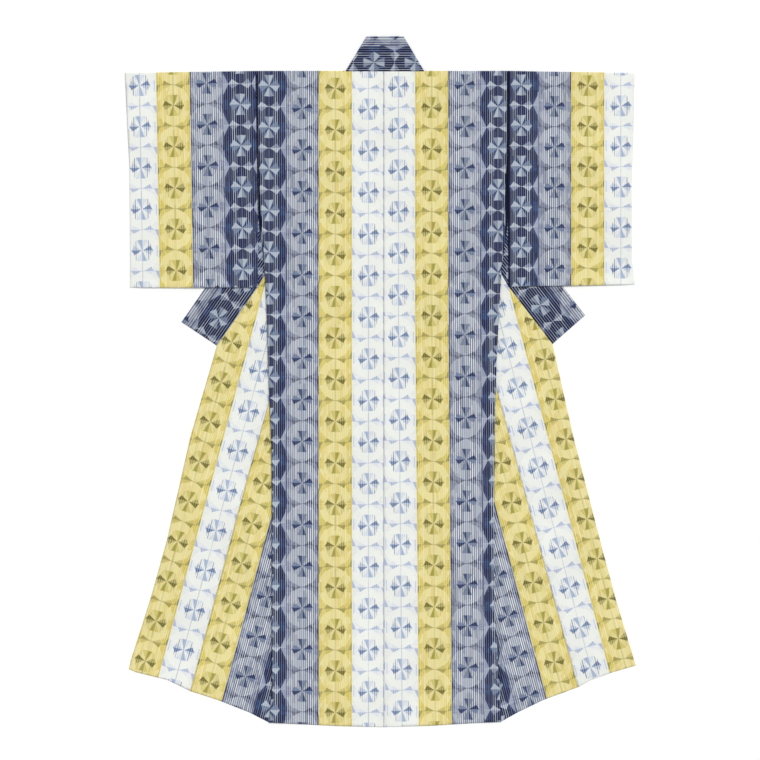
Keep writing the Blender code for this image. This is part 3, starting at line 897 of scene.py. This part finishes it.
def work_out(tree, values, rows):
    """Add the sums of a table to a tree."""
    for name, operation, *terms in rows:
        terms = [values[term] if isinstance(term, str) else term for term in terms]
        clamp = name.startswith("in_")
        if operation == "soft":
            depth = terms[0] if len(terms) == 1 else add_sum(tree, "-", terms, False)
            operation, terms = "*+", [depth, 1 / SOFT_EDGE, 0.5]
        while operation == "*" and len(terms) > 2:
            terms = [add_sum(tree, "*", terms[:2], clamp)] + terms[2:]
        values[name] = add_sum(tree, operation, terms, clamp)


def add_chance(tree, *sources):
    """Add white noise that depends on one or two values."""
    if len(sources) == 1:
        inputs = {"W": sources[0]}
    else:
        place = add_node(tree, "ShaderNodeCombineXYZ", inputs=dict(enumerate(sources)))
        inputs = {"Vector": place.outputs[0]}
    settings = {"noise_dimensions": "%dD" % len(sources)}
    return add_node(tree, "ShaderNodeTexWhiteNoise", settings, inputs).outputs["Value"]


def loom_values(tree, sizes, threads, narrower, stronger):
    """Places on the loom's plan, random yarns, and the masks of every woven figure."""
    plan = add_node(tree, "ShaderNodeUVMap", {"uv_map": "loom"})
    split = add_node(tree, "ShaderNodeSeparateXYZ", inputs={0: plan.outputs[0]})
    printed = add_node(tree, "ShaderNodeAttribute", {"attribute_name": "print places"})
    places = add_node(tree, "ShaderNodeSeparateXYZ", inputs={0: printed.outputs["Vector"]})
    half_repeat = 500 * sizes.repeat
    half_stripe = 500 * sizes.stripe
    thread = 1000 * sizes.stripe / threads
    values = {
        "u": split.outputs[0], "v": split.outputs[1], "lead of grey": places.outputs[0],
        "lead of navy": places.outputs[1], "selvage start": places.outputs[2],
        "stripe width": sizes.stripe, "stripe in mm": 2 * half_stripe, "minus half stripe": -half_stripe,
        "repeat length": sizes.repeat, "repeat in mm": 2 * half_repeat, "half repeat": half_repeat,
        "minus half repeat": -half_repeat, "threads to a metre": 1000 / thread,
        "turns to a millimetre": 2 * math.pi / thread, "narrower": narrower, "stronger": stronger,
        "corner inset": CORNER_WIDTH - half_stripe, "bow line start": half_repeat - BOW_LINE,
        "edge line start": half_stripe - EDGE_LINE,
    }
    work_out(tree, values, PLACE_SUMS)
    for name in ("thread", "weft"):
        values[name + " chance"] = add_chance(tree, values[name])
    work_out(tree, values, RUN_SUMS)
    values["run chance"] = add_chance(tree, values["thread"], values["run"])
    values["run depth"] = add_chance(tree, values["run"], values["thread"])
    work_out(tree, values, FIGURE_SUMS)
    return values


def ikat_cotton(sizes, slot):
    """Plain-weave cotton with resist-dyed yarns: matt, with a faint bloom of loose fibre, and
    figures whose edges feather along the warp because each tied yarn slips a little."""
    material = bpy.data.materials.new("resist_dyed_" + slot)
    material.use_nodes = True
    tree = material.node_tree
    shader = tree.nodes["Principled BSDF"]
    *threads, light = CLOTHS[slot]
    values = loom_values(tree, sizes, *threads)
    colour = None
    for name, stripe_tones in TONES.items():
        ramp = add_node(tree, "ShaderNodeValToRGB", inputs={0: values["share"]})
        ramp.color_ramp.interpolation = "CONSTANT"
        stops = ramp.color_ramp.elements
        while len(stops) < 4:
            stops.new(0.5)
        for k, hex_colour in enumerate(stripe_tones):
            stops[k].position = k / 4
            stops[k].color = linear(hex_colour)
        if colour is None:
            colour = ramp.outputs[0]
            continue
        cover = add_node(tree, "ShaderNodeMath", {"operation": "MULTIPLY", "use_clamp": True},
                         {0: values["in_" + name], 1: ramp.outputs[1]})
        mix = add_node(tree, "ShaderNodeMix", {"data_type": "RGBA"},
                       {0: cover.outputs[0], 6: colour, 7: ramp.outputs[0]})
        colour = mix.outputs[2]
    # Uneven dye: a slow drift over the cloth, with finer detail within it
    place = add_node(tree, "ShaderNodeTexCoord")
    drift = add_node(tree, "ShaderNodeTexNoise", inputs={
        "Vector": place.outputs["Object"], "Scale": 9.0, "Detail": 3.0})
    shade = add_node(tree, "ShaderNodeMapRange", inputs={
        0: drift.outputs[0], 1: 0.3, 2: 0.7, 3: 0.965 * light, 4: 1.035 * light})
    toned = add_node(tree, "ShaderNodeHueSaturation", inputs={
        "Value": shade.outputs[0], "Color": colour})
    work_out(tree, values, [
        ("warp turn", "*", "u", 2 * math.pi / WEAVE),
        ("warp wave", "SINE", "warp turn"),
        ("weft turn", "*", "v", 2 * math.pi / WEAVE),
        ("weft wave", "SINE", "weft turn"),
        ("weave", "*", "warp wave", "weft wave"),
        ("ribbed", "*+", "in_thread", 0.8, "weave"),
    ])
    bump = add_node(tree, "ShaderNodeBump", inputs={
        "Strength": 0.4, "Distance": 0.0003, "Height": values["ribbed"]})
    tree.links.new(toned.outputs[0], shader.inputs["Base Color"])
    tree.links.new(bump.outputs[0], shader.inputs["Normal"])
    shader.inputs["Roughness"].default_value = 0.88
    shader.inputs["Specular IOR Level"].default_value = 0.25
    shader.inputs["Sheen Weight"].default_value = 0.06
    shader.inputs["Sheen Roughness"].default_value = 0.55
    return material


def cotton_thread(colour):
    """Twisted cotton thread: matt, off white, hardly a glint."""
    material = bpy.data.materials.new("twisted_cotton_thread")
    material.use_nodes = True
    tree = material.node_tree
    shader = tree.nodes["Principled BSDF"]
    place = add_node(tree, "ShaderNodeTexCoord")
    twist = add_node(tree, "ShaderNodeTexWave", inputs={
        "Vector": place.outputs["Object"], "Scale": 900.0, "Distortion": 0.5})
    tint = add_node(tree, "ShaderNodeMix", {"data_type": "RGBA"}, {
        0: twist.outputs[1], 6: (*[part * 0.85 for part in colour], 1.0), 7: (*colour, 1.0)})
    tree.links.new(tint.outputs[2], shader.inputs["Base Color"])
    shader.inputs["Roughness"].default_value = 0.8
    return material


def pale_floor(colour):
    """Smooth matt painted board, nearly white."""
    material = bpy.data.materials.new("matt_white_board")
    material.use_nodes = True
    shader = material.node_tree.nodes["Principled BSDF"]
    shader.inputs["Base Color"].default_value = (*colour, 1.0)
    shader.inputs["Roughness"].default_value = 0.9
    shader.inputs["Specular IOR Level"].default_value = 0.1
    return material


PIECE_PLANS = {
    "body_left": (body_plan, "left"), "body_right": (body_plan, "right"),
    "okumi_left": (okumi_plan, "left"), "okumi_right": (okumi_plan, "right"),
    "sleeve_left": (sleeve_plan, "left"), "sleeve_right": (sleeve_plan, "right"),
    "collar": (collar_plan, None),
}
# Width and length of the flat cut that each piece shows, in metres
CUTS = {
    "body": (0.337, 3.34), "okumi": (0.16, 1.38), "sleeve": (0.334, 1.106), "collar": (0.107, 1.84),
}


def laid_heights(context):
    plans = [maker(side) for maker, side in PIECE_PLANS.values()]
    return LayerHeights(plans, context.scene.kimono_sizes.layer_step)


def lay_pieces(context, kind):
    sizes = context.scene.kimono_sizes
    heights = laid_heights(context)
    slot = "collar_cotton" if kind == "collar" else "striped_cotton"
    material = bpy.data.materials.get("resist_dyed_" + slot) or ikat_cotton(sizes, slot)
    thickness = sizes.collar_cloth if kind == "collar" else sizes.cloth
    for node, (maker, side) in PIECE_PLANS.items():
        if not node.startswith(kind):
            continue
        plan = maker(side)
        piece = cloth_piece(node + "_cloth", plan, heights, thickness, sizes.spacing)
        piece.data.materials.append(material)
        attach(piece, "root")
        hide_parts(node)
        width, length = CUTS[kind]
        min(cut_area(plan), width * length)


class KIMONO_OT_bodies(bpy.types.Operator):
    """Lay the two body lengths"""

    bl_idname = "kimono.bodies"
    bl_label = "Lay the body lengths"

    def execute(self, context):
        lay_pieces(context, "body")
        return {"FINISHED"}


class KIMONO_OT_okumi(bpy.types.Operator):
    """Lay the two overlap panels"""

    bl_idname = "kimono.okumi"
    bl_label = "Lay the overlap panels"

    def execute(self, context):
        lay_pieces(context, "okumi")
        return {"FINISHED"}


class KIMONO_OT_sleeves(bpy.types.Operator):
    """Lay the two sleeves"""

    bl_idname = "kimono.sleeves"
    bl_label = "Lay the sleeves"

    def execute(self, context):
        lay_pieces(context, "sleeve")
        return {"FINISHED"}


class KIMONO_OT_collar(bpy.types.Operator):
    """Lay the collar"""

    bl_idname = "kimono.collar"
    bl_label = "Lay the collar"

    def execute(self, context):
        lay_pieces(context, "collar")
        return {"FINISHED"}


class KIMONO_OT_stitches(bpy.types.Operator):
    """Sew the hems, front edges and sleeve edges with blind stitches"""

    bl_idname = "kimono.stitches"
    bl_label = "Sew the blind stitches"

    def execute(self, context):
        sizes = context.scene.kimono_sizes
        seams = bmesh.new()
        for run in stitch_runs(laid_heights(context), sizes.cloth):
            verts = [seams.verts.new(spot) for spot in run]
            for pair in zip(verts, verts[1:]):
                seams.edges.new(pair)
        data = bpy.data.meshes.new("blind_stitches")
        seams.to_mesh(data)
        seams.free()
        piece = bpy.data.objects.new("blind_stitches", data)
        context.scene.collection.objects.link(piece)
        tree = stitch_tree()
        sewing = piece.modifiers.new("Sewing", "NODES")
        sewing.node_group = tree
        given = {
            "Spacing": sizes.stitch_spacing, "Length": sizes.stitch_length, "Width": sizes.stitch_width,
            "Thread": cotton_thread(context.scene.kimono_colours.thread),
        }
        for name, value in given.items():
            sewing[tree.interface.items_tree[name].identifier] = value
        evaluated = piece.evaluated_get(context.evaluated_depsgraph_get())
        piece.data = bpy.data.meshes.new_from_object(evaluated)
        piece.modifiers.clear()
        piece.data.shade_smooth()
        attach(piece, "root")
        return {"FINISHED"}


class KIMONO_OT_stage(bpy.types.Operator):
    """Set the floor, the light and the camera"""

    bl_idname = "kimono.stage"
    bl_label = "Set the stage"

    def execute(self, context):
        scene = context.scene
        bpy.ops.mesh.primitive_plane_add(size=30.0, location=(0.0, 0.0, -0.0002))
        floor = context.object
        floor.name = "floor"
        floor.data.materials.append(pale_floor(scene.kimono_colours.floor))
        world = bpy.data.worlds.new("soft studio")
        world.use_nodes = True
        world.node_tree.nodes["Background"].inputs[0].default_value = (1.0, 1.0, 1.0, 1.0)
        world.node_tree.nodes["Background"].inputs[1].default_value = 0.51
        scene.world = world
        sun = bpy.data.lights.new("soft key", "SUN")
        sun.energy = 2.0
        sun.angle = math.radians(20.0)
        key = bpy.data.objects.new("soft key", sun)
        key.rotation_euler = (math.radians(-26.0), math.radians(24.0), 0.0)
        scene.collection.objects.link(key)
        scene.view_settings.view_transform = "Standard"
        place_camera(scene)
        return {"FINISHED"}


# The photograph is 760 pixels wide, and the garment is taken at one scale from straight above.
METRES_PER_PIXEL = 0.00255
PICTURE_PIXELS = 760
CENTRE_BACK_PIXEL = 383.5
SHOULDER_PIXEL = 71.0
CAMERA_HEIGHT = 7.0
SENSOR_WIDTH = 36.0


def place_camera(scene):
    """Look straight down, so that a pixel is the same size all over the garment."""
    width = METRES_PER_PIXEL * PICTURE_PIXELS
    camera = bpy.data.cameras.new("camera")
    camera.sensor_width = SENSOR_WIDTH
    camera.lens = SENSOR_WIDTH * CAMERA_HEIGHT / width
    camera.clip_end = 100.0
    view = bpy.data.objects.new("camera", camera)
    across = (PICTURE_PIXELS / 2 - CENTRE_BACK_PIXEL) * METRES_PER_PIXEL
    up = (SHOULDER_PIXEL - PICTURE_PIXELS / 2) * METRES_PER_PIXEL
    view.location = PLAN_ORIGIN + Vector((across, up, CAMERA_HEIGHT))
    scene.collection.objects.link(view)
    scene.camera = view


class KIMONO_PT_panel(bpy.types.Panel):
    """Lists the steps of the kimono"""

    bl_idname = "KIMONO_PT_panel"
    bl_label = "Laid summer kimono"
    bl_space_type = "VIEW_3D"
    bl_region_type = "UI"
    bl_category = "Kimono"

    def draw(self, context):
        for group in (context.scene.kimono_sizes, context.scene.kimono_colours):
            for name in group.bl_rna.properties.keys():
                if name not in ("rna_type", "name"):
                    self.layout.prop(group, name)
        for operator in OPERATORS:
            self.layout.operator(operator.bl_idname)


OPERATORS = (KIMONO_OT_stage, KIMONO_OT_collar, KIMONO_OT_bodies, KIMONO_OT_okumi, KIMONO_OT_sleeves,
             KIMONO_OT_stitches)
CLASSES = (KimonoSizes, KimonoColours, *OPERATORS, KIMONO_PT_panel)


def register():
    for cls in CLASSES:
        bpy.utils.register_class(cls)
    bpy.types.Scene.kimono_sizes = bpy.props.PointerProperty(type=KimonoSizes)
    bpy.types.Scene.kimono_colours = bpy.props.PointerProperty(type=KimonoColours)


def unregister():
    del bpy.types.Scene.kimono_colours
    del bpy.types.Scene.kimono_sizes
    for cls in reversed(CLASSES):
        bpy.utils.unregister_class(cls)


def main():
    register()
    bpy.ops.kimono.stage()
    bpy.ops.kimono.collar()
    bpy.ops.kimono.bodies()
    bpy.ops.kimono.okumi()
    bpy.ops.kimono.sleeves()
    bpy.ops.kimono.stitches()


if __name__ == "__main__":
    main()
